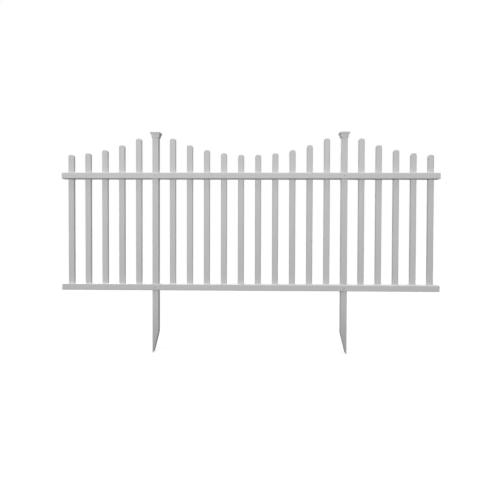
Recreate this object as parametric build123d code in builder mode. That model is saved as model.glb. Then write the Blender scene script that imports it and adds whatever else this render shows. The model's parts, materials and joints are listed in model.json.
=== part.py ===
from build123d import *
from build123d.topology import SkipClean
import math
import os

# Vinyl picket fence panel on two driven posts.
# Two hollow rails are routed for the uprights: the pickets drop through the top rail and stand
# on the floor of the bottom rail, and the two posts run through both rails into the ground.
# X runs along the panel, Y from its front (-) to its back (+), Z up from the ground, in mm.
# The origin is at ground level on the outer face of the left post.

# Panel
panel_length = 2336.8  # over the rail end plugs
wing_pickets = 5  # pickets outside each post
middle_pickets = 10  # pickets between the posts
fence_height = 1066.8  # ground to the top of the post caps
ground_gap = 85.0  # ground to the underside of the bottom rail
rail_spread = 730.0  # underside of the bottom rail to the top of the top rail

# Rails
rail_depth = 50.8
rail_height = 38.1
rail_wall = 2.0
rail_corner = 4.0

# Plugs that close the rail ends
plug_flange = 5.0
plug_reach = 18.0
plug_wall = 2.0
plug_bevel = 2.8  # bevel round the outer face
plug_edge = 1.0  # bevel at the seam with the rail

# Posts, each one tube from its cap down to the point that is driven into the ground
post_size = 38.1
post_wall = 2.4
post_corner = 2.5
stake_depth = 305.0  # ground to the tip of the point
stake_margin = 4.0  # plain tube between the stake's head and the bottom rail
point_length = 130.0  # height of the slanting cut
point_flat = 5.0  # blunt width left at the tip

# Flared post caps
cap_width = 62.0
cap_height = 32.3
cap_wall = 3.0
cap_rim = 3.0  # height of the upright edge round the top
cap_hip = 3.0  # rise of the hipped top above that edge
cap_cove = 0.3  # hollow of the flare, measured at its middle
collar_height = 5.8
collar_step = 1.5  # how far the collar stands out from the foot of the flare

# Pickets
picket_width = 38.1
picket_depth = 22.2
picket_wall = 1.6
picket_edge = 7.5  # rounding of the long edges
picket_crown = 2.8  # rise of the crown across the picket
picket_shoulder = 11.5  # rounding of the crown's corners
scallop_low = 926.0  # ground to the lowest point of the scallops
scallop_radius = 1175.0

# Fits
slide_clearance = 0.25  # round every upright, cap socket and plug
least_corner = 0.3  # smallest rounding inside a hollow

# Places worked out from the sizes above
slot_count = 2 * wing_pickets + middle_pickets + 2
slot_pitch = panel_length / slot_count
left_post_slot = wing_pickets
right_post_slot = slot_count - 1 - wing_pickets
panel_start = post_size / 2 - (left_post_slot + 0.5) * slot_pitch
panel_end = panel_start + panel_length
panel_middle = (panel_start + panel_end) / 2


def slot_center(slot):
    """X of the middle of an upright's slot, counted from 0 at the left end."""
    return panel_start + (slot + 0.5) * slot_pitch


post_centers = [slot_center(left_post_slot), slot_center(right_post_slot)]
picket_centers = [
    slot_center(slot)
    for slot in range(slot_count)
    if slot not in (left_post_slot, right_post_slot)
]
bottom_rail_base = ground_gap
top_rail_base = ground_gap + rail_spread - rail_height
picket_foot = bottom_rail_base + rail_wall
rail_start = panel_start + plug_flange
rail_end = panel_end - plug_flange
cap_base = fence_height - cap_height
rim_base = fence_height - cap_hip - cap_rim
rim_top = fence_height - cap_hip
post_top = rim_top - cap_wall
stake_head = ground_gap - stake_margin

os.makedirs("parts", exist_ok=True)


def write(piece, label):
    """Label a finished piece and save it under that name."""
    piece.part.label = label
    export_step(piece.part, f"parts/{label}.step")


def inner_corner(corner, inset):
    """Rounding of an outline's corner after the outline is moved inwards."""
    return max(corner - inset, least_corner)


def clipped_rectangle(width, depth, edge):
    """Rectangle with its corners cut straight across, just outside a rounding of the given size."""
    with BuildSketch() as outline:
        Rectangle(width, depth)
        chamfer(outline.vertices(), (2 - math.sqrt(2)) * edge)
    return outline.sketch


def upright_hole(width, depth, edge):
    """Hole routed for an upright, with the sliding clearance all round it."""
    return clipped_rectangle(
        width + 2 * slide_clearance, depth + 2 * slide_clearance, edge + slide_clearance
    )


def rail(base, picket_hole_depth):
    """Hollow rail with routed holes: the posts pass right through, the pickets as deep as given."""
    middle = base + rail_height / 2
    with BuildPart() as tube:
        with BuildSketch(Plane((rail_start, 0, middle), (0, 1, 0), (1, 0, 0))):
            RectangleRounded(rail_depth, rail_height, rail_corner)
            RectangleRounded(
                rail_depth - 2 * rail_wall,
                rail_height - 2 * rail_wall,
                inner_corner(rail_corner, rail_wall),
                mode=Mode.SUBTRACT,
            )
        extrude(amount=rail_end - rail_start)
        with BuildSketch(Plane.XY.offset(base + rail_height)):
            with Locations([(x, 0) for x in picket_centers]):
                add(upright_hole(picket_width, picket_depth, picket_edge))
        extrude(amount=-picket_hole_depth, mode=Mode.SUBTRACT)
        with BuildSketch(Plane.XY.offset(base + rail_height)):
            with Locations([(x, 0) for x in post_centers]):
                add(upright_hole(post_size, post_size, post_corner))
        extrude(amount=-rail_height, mode=Mode.SUBTRACT)
    return tube


def rail_plug(end, outward, base):
    """End plug: a flange over the rail's cut end and a hollow spigot inside the rail."""
    seat = Plane((end, 0, base + rail_height / 2), (0, 1, 0), (outward, 0, 0))
    along = Axis((end, 0, base + rail_height / 2), (outward, 0, 0))
    spigot_inset = rail_wall + slide_clearance
    with BuildPart() as plug:
        with BuildSketch(seat):
            RectangleRounded(rail_depth, rail_height, rail_corner)
        extrude(amount=plug_flange)
        chamfer(plug.faces().sort_by(along)[-1].edges(), plug_bevel)
        chamfer(plug.faces().sort_by(along)[0].edges(), plug_edge)
        with BuildSketch(seat):
            RectangleRounded(
                rail_depth - 2 * spigot_inset,
                rail_height - 2 * spigot_inset,
                inner_corner(rail_corner, spigot_inset),
            )
            Rectangle(
                rail_depth - 2 * (spigot_inset + plug_wall),
                rail_height - 2 * (spigot_inset + plug_wall),
                mode=Mode.SUBTRACT,
            )
        extrude(amount=-plug_reach)
    return plug


def post_section(center, base):
    """Square tube section of a post, drawn at the given height."""
    with BuildSketch(Plane.XY.offset(base)) as section:
        with Locations((center, 0)):
            RectangleRounded(post_size, post_size, post_corner)
            Rectangle(post_size - 2 * post_wall, post_size - 2 * post_wall, mode=Mode.SUBTRACT)
    return section.sketch


def post(center, outward):
    """Post tube with a slanting point whose tip is on the outward side.

    The tube is drawn in two runs that meet flush under the bottom rail, so that the stake keeps
    flat faces of its own.
    """
    outer_face = center + outward * post_size / 2
    inner_face = center - outward * post_size / 2
    tip = outer_face - outward * point_flat
    with BuildPart() as tube:
        extrude(post_section(center, -stake_depth), amount=stake_depth + stake_head)
        with BuildSketch(Plane.XZ):
            with BuildLine():
                Polyline(
                    (tip, -stake_depth),
                    (inner_face, -stake_depth),
                    (inner_face, -stake_depth + point_length),
                    close=True,
                )
            make_face()
        extrude(amount=post_size, both=True, mode=Mode.SUBTRACT)
        with SkipClean():
            extrude(post_section(center, stake_head), amount=post_top - stake_head, clean=False)
    return tube


def cap_outside(elevation):
    """Outline of the cap on an upright plane: collar, hollow flare, rim and hipped top."""
    neck = post_size / 2 + slide_clearance + cap_wall
    collar = neck + collar_step
    rim = cap_width / 2
    collar_top = cap_base + collar_height
    flare_middle = ((neck + rim) / 2 - cap_cove, (collar_top + rim_base) / 2)
    with BuildSketch(elevation) as outline:
        with BuildLine():
            Polyline((0, cap_base), (collar, cap_base), (collar, collar_top), (neck, collar_top))
            ThreePointArc((neck, collar_top), flare_middle, (rim, rim_base))
            Polyline((rim, rim_base), (rim, rim_top), (0, fence_height))
            mirror(about=Plane.YZ)
        make_face()
    return outline.sketch


def cap_inside(elevation):
    """Outline of the cap's hollow: a straight socket for the post that widens with the flare."""
    socket = post_size / 2 + slide_clearance
    hollow = cap_width / 2 - cap_wall - cap_cove
    collar_top = cap_base + collar_height
    with BuildSketch(elevation) as outline:
        with BuildLine():
            Polyline((0, cap_base), (socket, cap_base), (socket, collar_top), (hollow, post_top))
            Line((hollow, post_top), (0, post_top))
            mirror(about=Plane.YZ)
        make_face()
    return outline.sketch


def crossed(center, outline):
    """Solid that shows the same outline from the front and from the side."""
    front = Plane((center, 0, 0), (1, 0, 0), (0, -1, 0))
    side = Plane((center, 0, 0), (0, 1, 0), (1, 0, 0))
    with BuildPart() as solid:
        extrude(outline(front), amount=cap_width / 2, both=True)
        extrude(outline(side), amount=cap_width / 2, both=True, mode=Mode.INTERSECT)
    return solid.part


def post_cap(center):
    """Flared cap with mitred corners, hollow over the post's end."""
    with BuildPart() as cap:
        add(crossed(center, cap_outside))
        add(crossed(center, cap_inside), mode=Mode.SUBTRACT)
    return cap


def picket_front(center, top):
    """Front outline of a picket: straight sides, rounded shoulders and a low crown."""
    side = picket_width / 2
    height = top - picket_foot
    spring = height - picket_crown
    with BuildSketch(Plane((center, 0, picket_foot), (1, 0, 0), (0, -1, 0))) as outline:
        with BuildLine():
            Polyline((-side, spring), (-side, 0), (side, 0), (side, spring))
            ThreePointArc((side, spring), (0, height), (-side, spring))
        make_face()
        fillet(outline.vertices().group_by(Axis.Y)[-1], picket_shoulder)
    return outline.sketch


def picket(center):
    """Hollow picket with rounded long edges, open at its foot, cut to the scallop at the top."""
    from_scallop = min(abs(center - x) for x in (panel_start, panel_middle, panel_end))
    rise = scallop_radius - math.sqrt(scallop_radius**2 - from_scallop**2)
    top = scallop_low + rise
    hollow_top = top - picket_crown - picket_shoulder
    foot = Plane((center, 0, picket_foot))
    with BuildPart() as tube:
        with BuildSketch(foot):
            RectangleRounded(picket_width, picket_depth, picket_edge)
        extrude(amount=top - picket_foot)
        extrude(picket_front(center, top), amount=picket_depth, both=True, mode=Mode.INTERSECT)
        with BuildSketch(foot):
            add(
                clipped_rectangle(
                    picket_width - 2 * picket_wall,
                    picket_depth - 2 * picket_wall,
                    inner_corner(picket_edge, picket_wall),
                )
            )
        extrude(amount=hollow_top - picket_foot, mode=Mode.SUBTRACT)
    return tube


write(rail(bottom_rail_base, rail_height / 2), "bottom_rail")
write(rail(top_rail_base, rail_height), "top_rail")

for level, base in (("bottom", bottom_rail_base), ("top", top_rail_base)):
    write(rail_plug(rail_start, -1, base), f"{level}_rail_left_plug")
    write(rail_plug(rail_end, 1, base), f"{level}_rail_right_plug")

for side, center, outward in zip(("left", "right"), post_centers, (-1, 1)):
    write(post(center, outward), f"{side}_post")
    write(post_cap(center), f"{side}_post_cap")

for number, center in enumerate(picket_centers, start=1):
    write(picket(center), f"picket_{number:02d}")
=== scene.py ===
"""Looks of a white vinyl picket fence panel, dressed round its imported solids.

The rails and posts keep their solids and get finishes of their own. The pickets, the post caps
and the rail plugs are drawn again as smooth skins with rounded crowns and softened edges, and
the screws that pin the rails to the posts are added. Everything is in metres: X runs along the
panel, Y from its front (-) to its back (+), and Z up from the ground.
"""

from __future__ import annotations

import json
import logging
import math
from dataclasses import dataclass, replace
from enum import Enum

import bpy
import numpy as np
from mathutils import Euler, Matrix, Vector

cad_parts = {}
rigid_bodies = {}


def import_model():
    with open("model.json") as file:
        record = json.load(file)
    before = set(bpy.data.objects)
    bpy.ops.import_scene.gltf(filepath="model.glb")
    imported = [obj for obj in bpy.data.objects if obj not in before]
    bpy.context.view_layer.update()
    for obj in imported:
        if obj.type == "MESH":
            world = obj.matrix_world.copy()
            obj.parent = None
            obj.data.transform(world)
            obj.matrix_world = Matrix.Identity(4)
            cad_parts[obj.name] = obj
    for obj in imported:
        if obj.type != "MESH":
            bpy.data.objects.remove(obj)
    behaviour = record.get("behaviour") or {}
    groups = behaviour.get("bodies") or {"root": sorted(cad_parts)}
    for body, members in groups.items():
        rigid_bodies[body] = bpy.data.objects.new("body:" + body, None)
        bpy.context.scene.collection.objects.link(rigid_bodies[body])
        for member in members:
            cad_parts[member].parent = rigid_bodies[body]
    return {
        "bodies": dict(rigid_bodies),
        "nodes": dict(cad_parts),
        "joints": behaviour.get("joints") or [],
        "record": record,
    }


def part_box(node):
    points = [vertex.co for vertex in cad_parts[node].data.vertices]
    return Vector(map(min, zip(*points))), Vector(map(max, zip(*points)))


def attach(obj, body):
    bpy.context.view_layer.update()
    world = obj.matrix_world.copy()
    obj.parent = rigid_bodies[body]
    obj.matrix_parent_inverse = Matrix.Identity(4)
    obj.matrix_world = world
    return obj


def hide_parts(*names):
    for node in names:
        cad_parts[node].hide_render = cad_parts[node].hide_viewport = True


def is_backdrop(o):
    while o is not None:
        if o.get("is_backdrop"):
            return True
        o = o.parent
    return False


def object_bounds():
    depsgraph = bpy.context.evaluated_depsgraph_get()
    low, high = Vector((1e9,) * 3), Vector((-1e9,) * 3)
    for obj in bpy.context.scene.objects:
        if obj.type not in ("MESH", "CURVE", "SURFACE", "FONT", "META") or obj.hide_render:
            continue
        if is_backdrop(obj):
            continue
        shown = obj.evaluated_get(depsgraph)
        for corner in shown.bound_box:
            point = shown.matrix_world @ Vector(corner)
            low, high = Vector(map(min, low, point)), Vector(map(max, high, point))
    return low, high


LOG = logging.getLogger("fence_panel")
MM = 0.001
QUARTER = math.pi / 2
BODY = "root"
PICTURE_WIDTH = 480.0
RAILS = ("bottom_rail", "top_rail")
SIDES = ("left", "right")
OUTWARD = (-1, 1)
WHITE = (1.0, 1.0, 1.0, 1.0)
MIX_SHARE, MIX_FIRST, MIX_SECOND, MIX_RESULT = 0, 6, 7, 2
LONGEST_SOFT_SHARE = 0.45

Colour = tuple[float, float, float]
Triple = tuple[float, float, float]
Pair = tuple[float, float]
Counts = tuple[int, int]
Faces = list[list[int]]
Socket = bpy.types.NodeSocket
Material = bpy.types.Material
Piece = bpy.types.Object


class Grain(Enum):
    """Direction in which vinyl was drawn, as stretches of its lines and its patches."""

    ALONG_RAIL = ((5.0, 380.0, 380.0), (1.2, 5.0, 5.0))
    UPRIGHT = ((380.0, 380.0, 5.0), (8.0, 8.0, 1.2))
    MOULDED = ((520.0, 520.0, 520.0), (3.0, 3.0, 3.0))

    @property
    def lines(self) -> Triple:
        """Stretch of the fine lines along X, Y and Z."""
        return self.value[0]

    @property
    def patches(self) -> Triple:
        """Stretch of the broad, faint patches along X, Y and Z."""
        return self.value[1]


class Ray(Enum):
    """Kinds of ray that see the white background, by the output that names them."""

    CAMERA = "Is Camera Ray"
    GLOSSY = "Is Glossy Ray"
    TRANSMISSION = "Is Transmission Ray"


class NodeBench:
    """Bench for wiring shader nodes in one tree."""

    def __init__(self, tree: bpy.types.NodeTree) -> None:
        """Clears the node tree of a material or of the world, and keeps it."""
        tree.nodes.clear()
        self.tree = tree

    def add(self, kind: str, **settings: object) -> bpy.types.Node:
        """Adds a node.

        Args:
            kind: type name of the node.
            settings: attributes of the node to set.

        Returns:
            The new node.
        """
        node = self.tree.nodes.new(kind)
        for name, value in settings.items():
            setattr(node, name, value)
        return node

    def join(self, start: Socket, end: Socket) -> None:
        """Links an output to an input."""
        self.tree.links.new(start, end)

    def show(self, shader: Socket, kind: str = "ShaderNodeOutputMaterial") -> None:
        """Links a shader to a new output node of the given kind."""
        self.join(shader, self.add(kind).inputs["Surface"])

    def noise(self, place: Socket, stretch: Triple, detail: float) -> Socket:
        """Adds a noise pattern on Object coordinates.

        Args:
            place: coordinates that the pattern reads.
            stretch: cycles per metre along each axis.
            detail: number of finer layers.

        Returns:
            The pattern's factor output.
        """
        mapping = self.add("ShaderNodeMapping")
        mapping.inputs["Scale"].default_value = stretch
        pattern = self.add("ShaderNodeTexNoise")
        pattern.inputs["Scale"].default_value = 1.0
        pattern.inputs["Detail"].default_value = detail
        self.join(place, mapping.inputs["Vector"])
        self.join(mapping.outputs["Vector"], pattern.inputs["Vector"])
        return pattern.outputs["Fac"]

    def spread(self, value: Socket, source: Pair, target: Pair) -> Socket:
        """Maps a range of values onto another and clamps it.

        Args:
            value: the value to map.
            source: lowest and highest value that comes in.
            target: what these become.

        Returns:
            The mapped value.
        """
        node = self.add("ShaderNodeMapRange")
        for name, number in zip(("From Min", "From Max", "To Min", "To Max"), source + target):
            node.inputs[name].default_value = number
        self.join(value, node.inputs["Value"])
        return node.outputs["Result"]

    def combine(self, operation: str, first: Socket, second: Socket) -> Socket:
        """Works out one value from two.

        Args:
            operation: name of the sum, such as MULTIPLY or MAXIMUM.
            first: one value.
            second: the other value.

        Returns:
            The result.
        """
        node = self.add("ShaderNodeMath", operation=operation)
        self.join(first, node.inputs[0])
        self.join(second, node.inputs[1])
        return node.outputs["Value"]

    def blend(self, share: Socket, first: Socket | Colour, second: Colour) -> Socket:
        """Mixes two colours by a share.

        Args:
            share: how much of the second colour shows.
            first: a colour or a colour output.
            second: the other colour.

        Returns:
            The mixed colour.
        """
        node = self.add("ShaderNodeMix", data_type="RGBA")
        self.join(share, node.inputs[MIX_SHARE])
        if isinstance(first, tuple):
            node.inputs[MIX_FIRST].default_value = (*first, 1.0)
        else:
            self.join(first, node.inputs[MIX_FIRST])
        node.inputs[MIX_SECOND].default_value = (*second, 1.0)
        return node.outputs[MIX_RESULT]

    def background_rays(self) -> Socket:
        """Gives 1 to the rays that see the white background.

        Returns:
            The largest of the three ray outputs.
        """
        path = self.add("ShaderNodeLightPath")
        largest = path.outputs[Ray.CAMERA.value]
        for ray in (Ray.GLOSSY, Ray.TRANSMISSION):
            largest = self.combine("MAXIMUM", largest, path.outputs[ray.value])
        return largest


def tinted(colour: Colour, factor: float) -> Colour:
    """Gives a colour made lighter or darker by a factor."""
    return (colour[0] * factor, colour[1] * factor, colour[2] * factor)


@dataclass(frozen=True)
class VinylFinish:
    """White vinyl: faint lines from the die or a fine stipple, uneven gloss and faint dust.

    Attributes:
        name: name of the material.
        grain: direction of the lines.
        colour: colour of the clean vinyl.
        tints: factors of the darkest and lightest patches.
        patch_detail: finer layers in the patches.
        patch_range: values of the pattern from darkest to lightest.
        line_tint: factor of the lines' colour.
        line_detail: finer layers in the lines.
        line_range: values of the pattern from plain vinyl to a full line.
        line_share: how much of a full line's colour shows.
        line_depth: height of the lines.
        line_strength: how much of that height tells in the shading.
        gloss: roughness of the shiniest and dullest patches.
        gloss_range: values of the pattern from shiniest to dullest.
        shine: strength of the surface's reflection.
        ior: bending of light in the vinyl.
        dust: colour of the dust that settles on upward faces.
        dust_facing: how far up a face looks where dust starts and where it is thickest.
        dust_most: largest share of dust.
        dark_tip: True where the piece grows darker towards its driven point.
        tip_colour: darker colour that the driven points take on.
        tip_heights: heights between which the darkening grows to the full.
        tip_most: largest share of the darker colour.
        streak_stretch: cycles per metre of the darkening's streaks.
        streak_detail: finer layers in the streaks.
        streak_range: values of the pattern from a faint streak to a full one.
        streak_shares: how much of the darker colour those two show.
    """

    name: str
    grain: Grain
    colour: Colour = (0.74, 0.74, 0.742)
    tints: Pair = (0.965, 1.025)
    patch_detail: float = 4.0
    patch_range: Pair = (0.35, 0.65)
    line_tint: float = 0.94
    line_detail: float = 2.0
    line_range: Pair = (0.55, 0.75)
    line_share: float = 0.25
    line_depth: float = 0.12 * MM
    line_strength: float = 0.5
    gloss: Pair = (0.46, 0.60)
    gloss_range: Pair = (0.3, 0.7)
    shine: float = 0.28
    ior: float = 1.52
    dust: Colour = (0.66, 0.65, 0.63)
    dust_facing: Pair = (0.6, 1.0)
    dust_most: float = 0.30
    # Below ground level the stakes grow darker towards their points, in upright streaks; these
    # fields set that darker colour.
    dark_tip: bool = False
    tip_colour: Colour = (0.38, 0.375, 0.365)
    tip_heights: Pair = (0.0, -0.3)
    tip_most: float = 0.44
    streak_stretch: Triple = (150.0, 150.0, 14.0)
    streak_detail: float = 4.0
    streak_range: Pair = (0.4, 0.7)
    streak_shares: Pair = (0.85, 1.0)

    def material(self) -> Material:
        """Builds the finish.

        Returns:
            The new material.
        """
        made = bpy.data.materials.new(self.name)
        made.use_nodes = True
        bench = NodeBench(made.node_tree)
        place = bench.add("ShaderNodeTexCoord").outputs["Object"]
        lines = bench.noise(place, self.grain.lines, self.line_detail)
        patches = bench.noise(place, self.grain.patches, self.patch_detail)
        surface = bench.add("ShaderNodeBsdfPrincipled")
        surface.inputs["IOR"].default_value = self.ior
        surface.inputs["Specular IOR Level"].default_value = self.shine
        tone = self.tone(bench, place, lines, patches)
        bench.join(tone, surface.inputs["Base Color"])
        roughness = bench.spread(patches, self.gloss_range, self.gloss)
        bench.join(roughness, surface.inputs["Roughness"])
        bump = bench.add("ShaderNodeBump")
        bump.inputs["Strength"].default_value = self.line_strength
        bump.inputs["Distance"].default_value = self.line_depth
        bench.join(lines, bump.inputs["Height"])
        bench.join(bump.outputs["Normal"], surface.inputs["Normal"])
        bench.show(surface.outputs["BSDF"])
        return made

    def tone(self, bench: NodeBench, place: Socket, lines: Socket, patches: Socket) -> Socket:
        """Mixes the colour: patches, then lines, then dust, then the darker driven points where
        there are any.

        Args:
            bench: bench of the material.
            place: Object coordinates.
            lines: pattern of the fine lines.
            patches: pattern of the broad patches.

        Returns:
            The mixed colour.
        """
        dark, light = (tinted(self.colour, factor) for factor in self.tints)
        tone = bench.blend(bench.spread(patches, self.patch_range, (0.0, 1.0)), dark, light)
        share = bench.spread(lines, self.line_range, (0.0, self.line_share))
        tone = bench.blend(share, tone, tinted(self.colour, self.line_tint))
        tone = bench.blend(self.dust_share(bench, patches), tone, self.dust)
        # Darkens the stakes towards their driven points.
        if self.dark_tip:
            tone = bench.blend(self.tip_share(bench, place), tone, self.tip_colour)
        return tone

    def dust_share(self, bench: NodeBench, patches: Socket) -> Socket:
        """Finds how much dust lies on a face: more the more it faces up, in uneven patches.

        Args:
            bench: bench of the material.
            patches: broad pattern that breaks the dust up.

        Returns:
            The dust's share.
        """
        facing = bench.add("ShaderNodeSeparateXYZ")
        bench.join(bench.add("ShaderNodeNewGeometry").outputs["Normal"], facing.inputs[0])
        upward = bench.spread(facing.outputs["Z"], self.dust_facing, (0.0, self.dust_most))
        return bench.combine("MULTIPLY", upward, patches)

    def tip_share(self, bench: NodeBench, place: Socket) -> Socket:
        """Finds how much darker a stake grows: more towards its point, in upright streaks.

        Args:
            bench: bench of the material.
            place: Object coordinates.

        Returns:
            The darker colour's share.
        """
        height = bench.add("ShaderNodeSeparateXYZ")
        bench.join(place, height.inputs[0])
        depth = bench.spread(height.outputs["Z"], self.tip_heights, (0.0, self.tip_most))
        pattern = bench.noise(place, self.streak_stretch, self.streak_detail)
        streaks = bench.spread(pattern, self.streak_range, self.streak_shares)
        return bench.combine("MULTIPLY", depth, streaks)


@dataclass(frozen=True)
class ScrewFinish:
    """Zinc-plated steel: grey metal with faint cloudy patches.

    Attributes:
        name: name of the material.
        bright: colour of the cleaner patches.
        dull: colour of the duller patches.
        metal: how metallic the plating is.
        gloss: roughness of the shiniest and dullest patches.
        patch_stretch: cycles per metre of the patches.
        patch_detail: finer layers in the patches.
        patch_range: values of the pattern from bright to dull.
        gloss_range: values of the pattern from shiniest to dullest.
    """

    name: str = "zinc_plated_steel"
    bright: Colour = (0.46, 0.46, 0.45)
    dull: Colour = (0.34, 0.34, 0.33)
    metal: float = 0.9
    gloss: Pair = (0.30, 0.50)
    patch_stretch: Triple = (700.0, 700.0, 700.0)
    patch_detail: float = 3.0
    patch_range: Pair = (0.4, 0.65)
    gloss_range: Pair = (0.3, 0.7)

    def material(self) -> Material:
        """Builds the finish.

        Returns:
            The new material.
        """
        made = bpy.data.materials.new(self.name)
        made.use_nodes = True
        bench = NodeBench(made.node_tree)
        place = bench.add("ShaderNodeTexCoord").outputs["Object"]
        patches = bench.noise(place, self.patch_stretch, self.patch_detail)
        surface = bench.add("ShaderNodeBsdfPrincipled")
        surface.inputs["Metallic"].default_value = self.metal
        share = bench.spread(patches, self.patch_range, (0.0, 1.0))
        bench.join(bench.blend(share, self.bright, self.dull), surface.inputs["Base Color"])
        roughness = bench.spread(patches, self.gloss_range, self.gloss)
        bench.join(roughness, surface.inputs["Roughness"])
        bench.show(surface.outputs["BSDF"])
        return made


@dataclass(frozen=True)
class Finishes:
    """All finishes of the panel, each built once.

    Attributes:
        rail: vinyl with lines along the panel.
        upright: vinyl with upright lines.
        stake: upright vinyl, darker towards its point.
        cap: moulded vinyl of the caps, made a little whiter than the tubes as painted light,
            brightening flared faces that tilt down away from the lamps.
        moulded: moulded vinyl of the plugs.
        screw: plated steel.
    """

    rail: Material
    upright: Material
    stake: Material
    cap: Material
    moulded: Material
    screw: Material

    @classmethod
    def mixed(cls) -> Finishes:
        """Builds every finish.

        Returns:
            The finishes.
        """
        moulded = VinylFinish(
            "moulded_vinyl", Grain.MOULDED, gloss=(0.50, 0.62), line_depth=0.06 * MM
        )
        return cls(
            rail=VinylFinish("rail_vinyl", Grain.ALONG_RAIL).material(),
            upright=VinylFinish("picket_vinyl", Grain.UPRIGHT).material(),
            stake=VinylFinish("post_vinyl", Grain.UPRIGHT, dark_tip=True).material(),
            # Painted light: the caps' colour is lifted to 0.80 so that their flared faces, which
            # tilt down and catch less light, show as bright as the posts.
            cap=replace(moulded, name="cap_vinyl_painted_light", colour=(0.80, 0.80, 0.802)).material(),
            moulded=moulded.material(),
            screw=ScrewFinish().material(),
        )


def ring_faces(rows: int, columns: int) -> np.ndarray:
    """Numbers the four-sided faces of a grid whose columns close on themselves.

    Face (r, c) joins points (r, c), (r, c+1), (r+1, c+1) and (r+1, c), and the last column is
    followed by the first.

    Args:
        rows: rings of points.
        columns: points in a ring.

    Returns:
        Array of shape (faces, 4).
    """
    row, column = np.meshgrid(np.arange(rows - 1), np.arange(columns), indexing="ij")
    after = (column + 1) % columns
    corners = (
        row * columns + column,
        row * columns + after,
        (row + 1) * columns + after,
        (row + 1) * columns + column,
    )
    return np.stack(corners, axis=-1).reshape(-1, 4)


def rounded_loop(half: Pair, arc: int, runs: Counts) -> tuple[np.ndarray, np.ndarray]:
    """Draws a rounded rectangle as a core rectangle and a direction at each of its points.

    A point of the loop is core + radius * direction, so one pair of arrays serves any radius.
    The loop turns anticlockwise seen from above. Each corner gives arc + 1 directions over a
    quarter turn, and the runs between corners are divided evenly.

    Args:
        half: half the core's length and depth.
        arc: steps in each corner's quarter turn.
        runs: steps along the long runs and along the short ones.

    Returns:
        Core points and directions, each of shape (points, 2).
    """
    cores = np.array(half) * [(1, 1), (-1, 1), (-1, -1), (1, -1)]
    sweep = np.linspace(0.0, QUARTER, arc + 1)
    core_parts: list[np.ndarray] = []
    turn_parts: list[np.ndarray] = []
    for corner, core in enumerate(cores):
        angle = sweep + corner * QUARTER
        core_parts.append(np.repeat(core[None], arc + 1, axis=0))
        turn_parts.append(np.stack((np.cos(angle), np.sin(angle)), axis=1))
        steps = runs[corner % 2]
        share = (np.arange(1, steps) / steps)[:, None]
        core_parts.append(core * (1 - share) + cores[(corner + 1) % len(cores)] * share)
        turn_parts.append(np.repeat(turn_parts[-1][-1:], steps - 1, axis=0))
    return np.concatenate(core_parts), np.concatenate(turn_parts)


def gathered(loop: np.ndarray, share: float) -> np.ndarray:
    """Draws a rounded rectangle in towards its middle line.

    Each point p moves to m + share * (p - m), where m is the nearest point of the line along the
    rectangle's middle that stays as far from the ends as from the long sides.

    Args:
        loop: points of the rectangle round the origin, shape (n, 2), longer along the first axis.
        share: how much of the distance is left.

    Returns:
        The moved points.
    """
    half = np.abs(loop).max(axis=0)
    line = np.zeros_like(loop)
    line[:, 0] = np.clip(loop[:, 0], half[1] - half[0], half[0] - half[1])
    return line + share * (loop - line)


def strip_faces(count: int, short: int, arc: int, offset: int) -> Faces:
    """Closes a loop from rounded_loop with faces from its one long side across to the other.

    The loop mirrors itself: point i lies across from point count - short - i. The strip runs
    from the middle of one short run to the middle of the other, and its first and last face take
    in a whole short run each, with the corners beside it.

    Args:
        count: points in the loop.
        short: steps along a short run.
        arc: steps round a corner.
        offset: number of the loop's first point.

    Returns:
        The faces of the strip, anticlockwise where the loop is.
    """
    half = short // 2
    near = (count - half + np.arange(count // 2 + 1)) % count + offset
    far = (count - short - (near - offset)) % count + offset
    start, end = half + arc + 1, len(near) - half - arc - 2
    first = near[: start + 1].tolist() + far[start:0:-1].tolist()
    quads = np.stack(
        (near[start:end], near[start + 1 : end + 1], far[start + 1 : end + 1], far[start:end]),
        axis=1,
    )
    final = near[end:].tolist() + far[-2 : end - 1 : -1].tolist()
    return [first] + quads.tolist() + [final]


def softened(corners: np.ndarray, reach: float, steps: int) -> np.ndarray:
    """Softens the corners of a profile.

    Each inner corner P becomes a curve B(t) = (1-t)^2 A + 2 t (1-t) P + t^2 C, where A and C lie
    on the two edges at the given reach from P, or nearer on a short edge.

    Args:
        corners: points of the profile, shape (n, 2).
        reach: length that each corner takes from its edges.
        steps: steps in each curve.

    Returns:
        Points of the softened profile.
    """
    before, here, after = corners[:-2], corners[1:-1], corners[2:]

    def towards(other: np.ndarray) -> np.ndarray:
        """Moves each inner corner along one of its edges by its reach.

        Args:
            other: the corner at the edge's far end, for each inner corner.

        Returns:
            The moved points.
        """
        edge = other - here
        length = np.linalg.norm(edge, axis=1, keepdims=True)
        return here + edge / length * np.minimum(reach, LONGEST_SOFT_SHARE * length)

    start, end = towards(before), towards(after)
    t = np.linspace(0.0, 1.0, steps + 1)[None, :, None]
    curve = (1 - t) ** 2 * start[:, None] + 2 * t * (1 - t) * here[:, None] + t**2 * end[:, None]
    return np.concatenate((corners[:1], curve.reshape(-1, 2), corners[-1:]))


def solid_box(node: str) -> tuple[np.ndarray, np.ndarray]:
    """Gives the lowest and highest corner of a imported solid's box."""
    low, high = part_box(node)
    return np.array(low), np.array(high)


def add_piece(
    name: str, points: np.ndarray, faces: Faces, material: Material
) -> Piece:
    """Makes a smooth mesh piece that rides with the panel.

    Args:
        name: name of the piece.
        points: its points, shape (n, 3).
        faces: point numbers of each face, anticlockwise from outside.
        material: its finish.

    Returns:
        The new object.
    """
    mesh = bpy.data.meshes.new(name)
    mesh.from_pydata(points.tolist(), [], faces)
    mesh.shade_smooth()
    mesh.update()
    mesh.materials.append(material)
    piece = bpy.data.objects.new(name, mesh)
    bpy.context.scene.collection.objects.link(piece)
    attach(piece, BODY)
    return piece


def dress_node(frame: dict, node: str, material: Material) -> Piece:
    """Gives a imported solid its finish.

    Args:
        node: name of the solid.
        material: its finish.

    Returns:
        The solid's object.
    """
    piece = frame["nodes"][node]
    for holder in piece.material_slots:
        holder.material = material
    return piece


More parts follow.
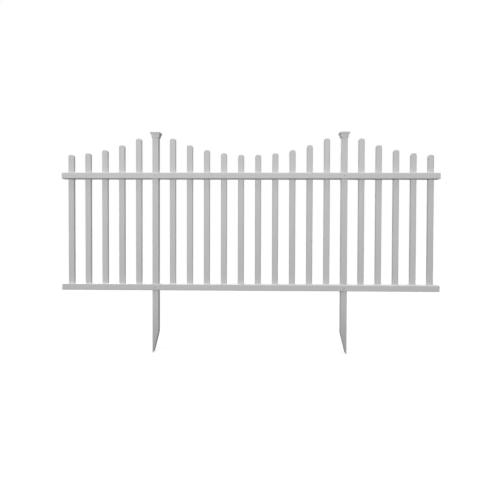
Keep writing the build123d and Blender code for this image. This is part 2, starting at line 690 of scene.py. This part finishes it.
@dataclass
class Picket:
    """A picket as one smooth skin with a softly domed crown.

    Attributes:
        node: name of the solid that it stands for.
        edge: rounding of the long edges.
        rim: rounding of the edge round the crown.
        shoulder: rounding of the crown's corners, seen from the front.
        crown: rise of the crown across the picket.
        foot_ring: height of the second ring over the foot.
        head_ring: depth of the third ring under the rim.
        arc: steps round each long edge.
        runs: steps along the wide faces and along the narrow ones.
        rim_steps: steps over the rim.
        gathers: how far out each ring on the crown still lies.
    """

    node: str
    edge: float = 7.5 * MM
    rim: float = 3.0 * MM
    shoulder: float = 11.5 * MM
    crown: float = 2.8 * MM
    foot_ring: float = 2.0 * MM
    head_ring: float = 4.0 * MM
    arc: int = 7
    runs: Counts = (16, 4)
    rim_steps: int = 7
    gathers: tuple[float, ...] = (0.85, 0.6, 0.35, 0.12)

    def outline(self, x: np.ndarray, half: float, top: float) -> np.ndarray:
        """Gives the height of the front outline over each x.

        The crown falls from the top as crown * (x / half)^2. Within a shoulder's radius s of the
        side it falls further by s - sqrt(s^2 - d^2), where d is the distance into the shoulder.

        Args:
            x: distances from the picket's middle.
            half: half the picket's width.
            top: height of the crown.

        Returns:
            Heights, in the shape of x.
        """
        into = np.clip(np.abs(x) - (half - self.shoulder), 0.0, self.shoulder)
        fall = self.shoulder - np.sqrt(np.maximum(self.shoulder**2 - into**2, 0.0))
        return top - self.crown * (x / half) ** 2 - fall

    def skin(self, low: np.ndarray, high: np.ndarray) -> tuple[np.ndarray, Faces]:
        """Works out the picket's skin.

        Rings of one rounded rectangle are stacked. The foot, a ring just over it, a ring under
        the rim and the rim's start are at full size. Over the rim, at angle t, a ring is drawn in
        by rim * (1 - cos t) and lies rim * (1 - sin t) under the front outline. On the crown the
        rings gather to the middle line and lie on the outline itself, and a strip of faces closes
        the last one.

        Args:
            low: lowest corner of the solid's box.
            high: highest corner of the solid's box.

        Returns:
            Points and faces.
        """
        middle, half = (low + high) / 2, (high - low) / 2
        base, turn = rounded_loop((half[0] - self.edge, half[1] - self.edge), self.arc, self.runs)
        full_size = np.zeros(3)
        t = np.concatenate((full_size, np.linspace(0.0, QUARTER, self.rim_steps + 1)))
        radius = self.edge - self.rim * (1 - np.cos(t))
        sides = base[None] + turn[None] * radius[:, None, None]
        crown = np.stack([gathered(sides[-1], share) for share in self.gathers])
        plan = np.concatenate((sides, crown))
        under = np.concatenate((self.rim * (1 - np.sin(t)), np.zeros(len(crown))))
        heights = self.outline(plan[..., 0], half[0], high[2]) - under[:, None]
        heights[0] = low[2]
        heights[1] = low[2] + self.foot_ring
        heights[2] -= self.head_ring
        points = np.concatenate((plan + middle[:2], heights[..., None]), axis=-1).reshape(-1, 3)
        rows, count = plan.shape[:2]
        foot = [list(range(count - 1, -1, -1))]
        walls = ring_faces(rows, count).tolist()
        crest = strip_faces(count, self.runs[1], self.arc, (rows - 1) * count)
        return points, walls + foot + crest

    def build(self, finishes: Finishes) -> Piece:
        """Builds the picket in place of its solid.

        Args:
            finishes: the panel's finishes.

        Returns:
            The new object.
        """
        points, faces = self.skin(*solid_box(self.node))
        piece = add_piece(f"{self.node}_skin", points, faces, finishes.upright)
        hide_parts(self.node)
        return piece


@dataclass
class PostCap:
    """A flared post cap as one closed skin with softened edges.

    Attributes:
        node: name of the solid that it stands for.
        post: half the width of the post that it covers.
        wall: thickness of the cap.
        clearance: gap between the cap's socket and the post.
        collar_height: height of the collar at the foot.
        collar_step: how far the collar stands out from the flare's foot.
        cove: hollow of the flare at its middle.
        rim: height of the upright edge round the top.
        hip: rise of the hipped top.
        soft: length that each softened edge takes.
        corner: rounding of the mitred corners.
        corner_most: largest share of a ring's half width that this rounding takes.
        pole: share of the half width at which the crown's and the socket's last rings lie.
        flare_steps: steps along the flare.
        soft_steps: steps over each softened edge.
        arc: steps round each mitred corner.
        runs: steps along the sides.
    """

    node: str
    post: float = 19.05 * MM
    wall: float = 3.0 * MM
    clearance: float = 0.25 * MM
    collar_height: float = 5.8 * MM
    collar_step: float = 1.5 * MM
    cove: float = 0.3 * MM
    rim: float = 3.0 * MM
    hip: float = 3.0 * MM
    soft: float = 0.9 * MM
    corner: float = 0.9 * MM
    corner_most: float = 0.4
    pole: float = 0.02
    flare_steps: int = 8
    soft_steps: int = 4
    arc: int = 3
    runs: Counts = (6, 6)

    def flare(self, foot: Pair, head: Pair) -> np.ndarray:
        """Draws the flare's hollow curve, without its ends.

        The curve is the straight line from foot to head, drawn in by cove * 4 s (1 - s) at
        share s of its length.

        Args:
            foot: half width and height at the foot.
            head: half width and height at the head.

        Returns:
            Points of shape (n, 2).
        """
        share = np.linspace(0.0, 1.0, self.flare_steps + 1)[1:-1, None]
        line = np.array(foot) * (1 - share) + np.array(head) * share
        return line - np.array([self.cove, 0.0]) * 4 * share * (1 - share)

    def profile(self, foot: float, top: float, half: float) -> np.ndarray:
        """Draws half of the cap's section, from the crown over the outside to inside the socket.

        Args:
            foot: height of the collar's underside.
            top: height of the crown.
            half: half the cap's width.

        Returns:
            Softened points of shape (n, 2): half width and height.
        """
        socket = self.post + self.clearance
        neck = socket + self.wall
        collar = neck + self.collar_step
        collar_top = foot + self.collar_height
        rim_top = top - self.hip
        rim_foot = rim_top - self.rim
        ceiling = rim_top - self.wall
        corners = [
            (half * self.pole, top - self.hip * self.pole),
            (half, rim_top),
            (half, rim_foot),
            *self.flare((neck, collar_top), (half, rim_foot))[::-1],
            (neck, collar_top),
            (collar, collar_top),
            (collar, foot),
            (socket, foot),
            (socket, ceiling),
            (socket * self.pole, ceiling),
        ]
        return softened(np.array(corners), self.soft, self.soft_steps)

    def build(self, finishes: Finishes) -> Piece:
        """Builds the cap in place of its solid.

        Each point of the profile becomes a ring: a square of that half width with its corners
        rounded.

        Args:
            finishes: the panel's finishes.

        Returns:
            The new object.
        """
        low, high = solid_box(self.node)
        middle = (low + high) / 2
        profile = self.profile(low[2], high[2], (high[0] - low[0]) / 2)
        width, height = profile.T[:, :, None, None]
        base, turn = rounded_loop((1.0, 1.0), self.arc, self.runs)
        corner = np.minimum(self.corner, self.corner_most * width)
        plan = base[None] * (width - corner) + turn[None] * corner
        heights = np.broadcast_to(height, plan.shape[:2] + (1,))
        points = np.concatenate((plan + middle[:2], heights), axis=-1).reshape(-1, 3)
        count, rows = len(base), len(profile)
        walls = ring_faces(rows, count)[:, ::-1].tolist()
        ends = [list(range(count)), list(range(rows * count - 1, (rows - 1) * count - 1, -1))]
        piece = add_piece(f"{self.node}_skin", points, walls + ends, finishes.cap)
        weights = piece.modifiers.new("even_shading", "WEIGHTED_NORMAL")
        weights.keep_sharp = False
        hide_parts(self.node)
        return piece


@dataclass
class RailPlug:
    """The plug in a rail's end: a flange with rounded edges and a slightly domed face.

    Attributes:
        node: name of the solid that it stands for.
        outward: 1 where the plug faces along X, -1 where it faces the other way.
        corner: rounding of the rail's long edges, which the flange follows.
        flange: thickness of the flange.
        spigot: how far the part inside the rail is set in.
        seam: rounding of the flange's edge along the seam with the rail.
        edge: rounding of the flange's outer edge.
        dome: rise of the outer face.
        arc: steps round each long edge.
        runs: steps across the rail and up its sides.
        edge_steps: steps over the seam's edge and over the outer edge.
        gathers: how far out each ring on the outer face still lies.
    """

    node: str
    outward: int
    corner: float = 4.0 * MM
    flange: float = 5.0 * MM
    spigot: float = 2.25 * MM
    seam: float = 1.0 * MM
    edge: float = 3.1 * MM
    dome: float = 0.3 * MM
    arc: int = 7
    runs: Counts = (12, 8)
    edge_steps: int = 6
    gathers: tuple[float, ...] = (0.85, 0.7, 0.55, 0.4)

    def section(self, length: float) -> np.ndarray:
        """Draws the plug's section from the spigot's inner end to the edge of its outer face.

        The seam's edge and the outer edge are quarter turns of their own radius: at angle t the
        section is set in by radius * (1 - cos t), or by radius * (1 - sin t) at the seam.

        Args:
            length: length of the plug with its spigot.

        Returns:
            Distance from the outer face's middle, and set-in, shape (n, 2).
        """
        turn = np.linspace(0.0, QUARTER, self.edge_steps + 1)
        inside = np.array([(-length, self.spigot), (-self.flange, self.spigot)])
        seam = np.stack((1 - np.cos(turn), 1 - np.sin(turn)), axis=1) * self.seam
        seam[:, 0] -= self.flange
        outer = np.stack((np.sin(turn) - 1, 1 - np.cos(turn)), axis=1) * self.edge
        outer[:, 0] -= self.dome
        return np.concatenate((inside, seam, outer))

    def build(self, finishes: Finishes) -> Piece:
        """Builds the plug in place of its solid.

        Rings of the rail's rounded outline are set in by the section. Over the outer face they
        gather to its middle line, and a point at shares u and v of the face's half sizes rises
        by dome * (1 - u^2) * (1 - v^2).

        Args:
            finishes: the panel's finishes.

        Returns:
            The new object.
        """
        low, high = solid_box(self.node)
        middle, half = (low + high) / 2, (high - low) / 2
        base, turn = rounded_loop(
            (half[1] - self.corner, half[2] - self.corner), self.arc, self.runs
        )
        section = self.section(2 * half[0])
        rings = base[None] + turn[None] * (self.corner - section[:, 1])[:, None, None]
        outer = np.stack([gathered(rings[-1], share) for share in self.gathers])
        bow = np.prod(1 - (outer / np.abs(rings[-1]).max(axis=0)) ** 2, axis=-1)
        plan = np.concatenate((rings, outer))
        rows, count = plan.shape[:2]
        edge = np.broadcast_to(section[:, :1], rings.shape[:2])
        along = np.concatenate((edge, self.dome * (bow - 1)))
        x = middle[0] + self.outward * (half[0] + along)
        points = np.concatenate((x[..., None], plan + middle[1:]), axis=-1).reshape(-1, 3)
        faces = ring_faces(rows, count).tolist() + [list(range(count - 1, -1, -1))]
        faces += strip_faces(count, self.runs[1], self.arc, (rows - 1) * count)
        if self.outward < 0:
            faces = [face[::-1] for face in faces]
        piece = add_piece(f"{self.node}_skin", points, faces, finishes.moulded)
        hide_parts(self.node)
        return piece


@dataclass
class RailScrew:
    """A pan-head screw with a cross recess, driven through a rail's front into a post.

    Attributes:
        name: name of the piece.
        place: middle of the head's underside.
        head: radius of the head.
        rise: height of the head.
        fullness: power of the head's outline: the higher, the squarer.
        recess: depth of the cross recess.
        recess_fade: share of that depth lost from the middle to the head's edge.
        arm: half width and reach of the recess's arms.
        arm_soft: width of the recess's soft step, as a share of the head's radius.
        shank: radius of the shank at the root of the thread.
        thread: height of the thread.
        thread_power: power of the thread's outline: the higher, the sharper.
        pitch: rise of the thread in one turn.
        length: length under the head.
        point_share: share of the length that tapers to the point.
        blunt: share of the radius left at the point.
        head_points: points along each side of the head's grid.
        shank_rings: rings of points along the shank.
        ring_points: points in each ring.
    """

    name: str
    place: Triple
    head: float = 4.4 * MM
    rise: float = 2.6 * MM
    fullness: int = 5
    recess: float = 1.7 * MM
    recess_fade: float = 0.35
    arm: Pair = (0.62 * MM, 2.4 * MM)
    arm_soft: float = 0.10
    shank: float = 1.5 * MM
    thread: float = 0.6 * MM
    thread_power: int = 3
    pitch: float = 1.6 * MM
    length: float = 20.0 * MM
    point_share: float = 0.25
    blunt: float = 0.03
    head_points: int = 41
    shank_rings: int = 101
    ring_points: int = 20

    def inside(self, distance: np.ndarray, limit: float) -> np.ndarray:
        """Gives 1 inside a limit and 0 outside it, with a soft step s^2 (3 - 2 s)."""
        share = np.clip((limit - distance) / self.arm_soft + 0.5, 0.0, 1.0)
        return share * share * (3 - 2 * share)

    def head_skin(self) -> tuple[np.ndarray, Faces]:
        """Works out the head, its flat underside too.

        A square grid (u, v) is pressed into a disc by x = u sqrt(1 - v^2/2) and
        y = v sqrt(1 - u^2/2). The height is rise * (1 - r^fullness)^(1/2) at share r of the
        radius, less the recess: its depth times a soft step off each arm's side and end.

        Returns:
            Points and faces.
        """
        steps = self.head_points
        side = np.linspace(-1, 1, steps)
        u, v = np.meshgrid(side, side, indexing="xy")
        x, y = u * np.sqrt(1 - v**2 / 2), v * np.sqrt(1 - u**2 / 2)
        r = np.minimum(np.hypot(x, y), 1.0)
        width, reach = self.arm[0] / self.head, self.arm[1] / self.head
        across = self.inside(np.abs(y), width) * self.inside(np.abs(x), reach)
        along = self.inside(np.abs(x), width) * self.inside(np.abs(y), reach)
        dome = self.rise * np.sqrt(np.maximum(1 - r**self.fullness, 0.0))
        sunk = self.recess * np.maximum(across, along) * (1 - self.recess_fade * r)
        points = np.stack((x * self.head, sunk - dome, y * self.head), axis=-1).reshape(-1, 3)
        grid = np.arange(steps * steps).reshape(steps, steps)
        corners = (grid[:-1, :-1], grid[:-1, 1:], grid[1:, 1:], grid[1:, :-1])
        faces = np.stack(corners, axis=-1).reshape(-1, 4)
        rim = np.concatenate((grid[0, :-1], grid[:-1, -1], grid[-1, :0:-1], grid[:0:-1, 0]))
        return points, faces.tolist() + [rim[::-1].tolist()]

    def shank_skin(self, offset: int) -> tuple[np.ndarray, Faces]:
        """Works out the threaded shank, from under the head to its point.

        The radius at turn a and depth d is the shank's radius plus thread * (1 - |2 f - 1|)^power,
        where f is the fraction of d / pitch - a / 2 pi, and it tapers to the point.

        Args:
            offset: number of the shank's first point.

        Returns:
            Points and faces.
        """
        rows, columns = self.shank_rings, self.ring_points
        share, turn = np.meshgrid(
            np.linspace(0, 1, rows), np.arange(columns) / columns, indexing="ij"
        )
        fraction = np.mod(share * self.length / self.pitch - turn, 1.0)
        taper = np.clip((1.0 - share) / self.point_share, self.blunt, 1.0)
        ridge = self.thread * (1 - np.abs(2 * fraction - 1)) ** self.thread_power
        radius = (self.shank + ridge) * taper
        angle = 2 * math.pi * turn
        points = np.stack(
            (radius * np.cos(angle), share * self.length, radius * np.sin(angle)), axis=-1
        )
        walls = (ring_faces(rows, columns)[:, ::-1] + offset).tolist()
        last = offset + rows * columns - 1
        ends = [list(range(offset, offset + columns)), list(range(last, last - columns, -1))]
        return points.reshape(-1, 3), walls + ends

    def build(self, finishes: Finishes) -> Piece:
        """Builds the screw.

        Args:
            finishes: the panel's finishes.

        Returns:
            The new object.
        """
        head_points, head_faces = self.head_skin()
        shank_points, shank_faces = self.shank_skin(len(head_points))
        points = np.concatenate((head_points, shank_points)) + np.array(self.place)
        return add_piece(self.name, points, head_faces + shank_faces, finishes.screw)


@dataclass
class RailAssembly:
    """The two rails with their end plugs.

    Attributes:
        finishes: the panel's finishes.
    """

    frame: dict
    finishes: Finishes

    def build(self) -> list[Piece]:
        """Dresses the rails and builds their plugs.

        Returns:
            The objects.
        """
        made = [dress_node(self.frame, rail, self.finishes.rail) for rail in RAILS]
        for rail in RAILS:
            for side, outward in zip(SIDES, OUTWARD):
                made.append(RailPlug(f"{rail}_{side}_plug", outward).build(self.finishes))
        return made


@dataclass
class PostAssembly:
    """The two posts with their caps and the screws that pin the rails to them.

    Attributes:
        finishes: the panel's finishes.
    """

    frame: dict
    finishes: Finishes

    def build(self) -> list[Piece]:
        """Dresses the posts, and builds their caps and screws.

        Returns:
            The objects.
        """
        made = [dress_node(self.frame, f"{side}_post", self.finishes.stake) for side in SIDES]
        made += [PostCap(f"{side}_post_cap").build(self.finishes) for side in SIDES]
        for rail in RAILS:
            low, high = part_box(rail)
            for side in SIDES:
                post_low, post_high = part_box(f"{side}_post")
                place = ((post_low.x + post_high.x) / 2, low.y, (low.z + high.z) / 2)
                made.append(RailScrew(f"{rail}_{side}_screw", place).build(self.finishes))
        return made


@dataclass
class PicketRow:
    """The row of pickets.

    Attributes:
        finishes: the panel's finishes.
        count: number of pickets.
    """

    finishes: Finishes
    count: int = 20

    def build(self) -> list[Piece]:
        """Builds every picket, from left to right."""
        names = [f"picket_{number:02d}" for number in range(1, self.count + 1)]
        return [Picket(name).build(self.finishes) for name in names]


@dataclass
class Studio:
    """Plain white floor, soft light and the camera.

    Attributes:
        floor_height: height of the floor.
        floor_half: half the floor's width.
        floor_bounce: how much of the light the floor gives back to the object.
        floor_colour: how much of it the camera sees on the floor, which shows the shadow.
        floor_white: what the floor adds where the camera sees it, so that it shows white.
        sky: strength of the even light all round.
        front: power of the broad lamp before the panel.
        front_place: where that lamp hangs, a little over the panel's height.
        front_size: its width and height.
        top: strength of the far lamp over the panel.
        top_way: its height over the horizon and its turn, in degrees.
        back: strength of the weaker far lamp behind the panel.
        back_way: the same two angles of it.
        softness: angle that each far lamp spans, in radians.
        camera_place: where the camera stands.
        camera_turn: its tilt, roll and turn to the left, in degrees.
        camera_reach: farthest that it sees.
        sensor: width of its sensor, in millimetres.
        focal_pixels: focal length in pixels of the picture.
        shift_pixels: how far the picture's frame is shifted to the right, in pixels.
    """

    floor_height: float
    floor_half: float = 60.0
    floor_bounce: float = 0.04
    floor_colour: float = 0.22
    floor_white: float = 0.83
    sky: float = 0.16
    front: float = 142.0
    front_place: Triple = (0.0, -4.0, 1.70)
    front_size: Pair = (8.0, 1.4)
    top: float = 1.50
    top_way: Pair = (84.0, 0.0)
    back: float = 1.30
    back_way: Pair = (25.0, 200.0)
    softness: float = 0.5
    camera_place: Triple = (0.679, -2.540, 0.441)
    camera_turn: Triple = (89.055, -0.19, 1.115)
    camera_reach: float = 200.0
    sensor: float = 36.0
    focal_pixels: float = 407.6
    shift_pixels: float = -13.7

    def floor_finish(self) -> Material:
        """Mixes the floor's finish: white to the camera, grey to the object, clear from below.

        Returns:
            The new material.
        """
        material = bpy.data.materials.new("studio_white")
        material.use_nodes = True
        bench = NodeBench(material.node_tree)
        rays = bench.background_rays()
        matt = bench.add("ShaderNodeBsdfDiffuse")
        grey = bench.spread(rays, (0.0, 1.0), (self.floor_bounce, self.floor_colour))
        bench.join(grey, matt.inputs["Color"])
        glow = bench.add("ShaderNodeEmission")
        lift = bench.spread(rays, (0.0, 1.0), (0.0, self.floor_white))
        bench.join(lift, glow.inputs["Strength"])
        lit = bench.add("ShaderNodeAddShader")
        bench.join(matt.outputs["BSDF"], lit.inputs[0])
        bench.join(glow.outputs["Emission"], lit.inputs[1])
        sides = bench.add("ShaderNodeMixShader")
        clear = bench.add("ShaderNodeBsdfTransparent")
        geometry = bench.add("ShaderNodeNewGeometry")
        bench.join(geometry.outputs["Backfacing"], sides.inputs["Fac"])
        bench.join(lit.outputs["Shader"], sides.inputs[1])
        bench.join(clear.outputs["BSDF"], sides.inputs[2])
        bench.show(sides.outputs["Shader"])
        return material

    def floor(self) -> None:
        """Lays the floor as one square face."""
        reach, height = self.floor_half, self.floor_height
        corners = [(-reach, -reach), (reach, -reach), (reach, reach), (-reach, reach)]
        mesh = bpy.data.meshes.new("studio_floor")
        mesh.from_pydata([(x, y, height) for x, y in corners], [], [(0, 1, 2, 3)])
        mesh.materials.append(self.floor_finish())
        floor = bpy.data.objects.new("studio_floor", mesh)
        bpy.context.scene.collection.objects.link(floor)
        floor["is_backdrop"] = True

    def surround(self) -> None:
        """Makes the surround: white to the camera, an even soft light to the object."""
        world = bpy.data.worlds.new("studio_surround")
        world.use_nodes = True
        bench = NodeBench(world.node_tree)
        seen = bench.add("ShaderNodeBackground")
        seen.inputs["Color"].default_value = WHITE
        light = bench.add("ShaderNodeBackground")
        light.inputs["Color"].default_value = WHITE
        light.inputs["Strength"].default_value = self.sky
        choice = bench.add("ShaderNodeMixShader")
        bench.join(bench.background_rays(), choice.inputs["Fac"])
        bench.join(light.outputs["Background"], choice.inputs[1])
        bench.join(seen.outputs["Background"], choice.inputs[2])
        bench.show(choice.outputs["Shader"], "ShaderNodeOutputWorld")
        bpy.context.scene.world = world

    def front_lamp(self) -> None:
        """Hangs the broad lamp before the panel, facing it squarely."""
        data = bpy.data.lights.new("front_lamp", "AREA")
        data.shape = "RECTANGLE"
        data.size, data.size_y = self.front_size
        data.energy = self.front
        lamp = bpy.data.objects.new("front_lamp", data)
        lamp.location = self.front_place
        lamp.rotation_euler = Euler((QUARTER, 0.0, 0.0))
        bpy.context.scene.collection.objects.link(lamp)

    def far_lamp(self, name: str, strength: float, way: Pair) -> None:
        """Hangs one soft lamp far away.

        Args:
            name: name of the lamp.
            strength: light on a face square to it.
            way: its height over the horizon, and how far it stands to the right of straight
                before the panel, in degrees.
        """
        rise, turn = (math.radians(angle) for angle in way)
        data = bpy.data.lights.new(name, "SUN")
        data.energy = strength
        data.angle = self.softness
        lamp = bpy.data.objects.new(name, data)
        lamp.rotation_euler = Euler((QUARTER - rise, 0.0, turn))
        bpy.context.scene.collection.objects.link(lamp)

    def camera(self) -> None:
        """Sets up the camera at the photograph's place."""
        data = bpy.data.cameras.new("studio_camera")
        data.sensor_width = self.sensor
        data.lens = self.focal_pixels / PICTURE_WIDTH * self.sensor
        data.shift_x = self.shift_pixels / PICTURE_WIDTH
        data.clip_end = self.camera_reach
        camera = bpy.data.objects.new("studio_camera", data)
        camera.location = self.camera_place
        camera.rotation_euler = Euler([math.radians(angle) for angle in self.camera_turn])
        bpy.context.scene.collection.objects.link(camera)
        bpy.context.scene.camera = camera

    def build(self) -> None:
        """Sets up the whole studio."""
        self.floor()
        self.surround()
        self.front_lamp()
        self.far_lamp("top_lamp", self.top, self.top_way)
        self.far_lamp("back_lamp", self.back, self.back_way)
        self.camera()
        bpy.context.scene.view_settings.view_transform = "Standard"


def main() -> None:
    """Builds the panel's looks and reports each piece."""
    logging.basicConfig(level=logging.INFO, format="%(name)s: %(message)s")
    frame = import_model()
    cad_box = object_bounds()
    finishes = Finishes.mixed()
    assemblies = (
        RailAssembly(frame, finishes),
        PostAssembly(frame, finishes),
        PicketRow(finishes),
    )
    for assembly in assemblies:
        for piece in assembly.build():
            LOG.info("%s, %d faces", piece.name, len(piece.data.polygons))
    Studio(floor_height=cad_box[0].z).build()


if __name__ == "__main__":
    main()
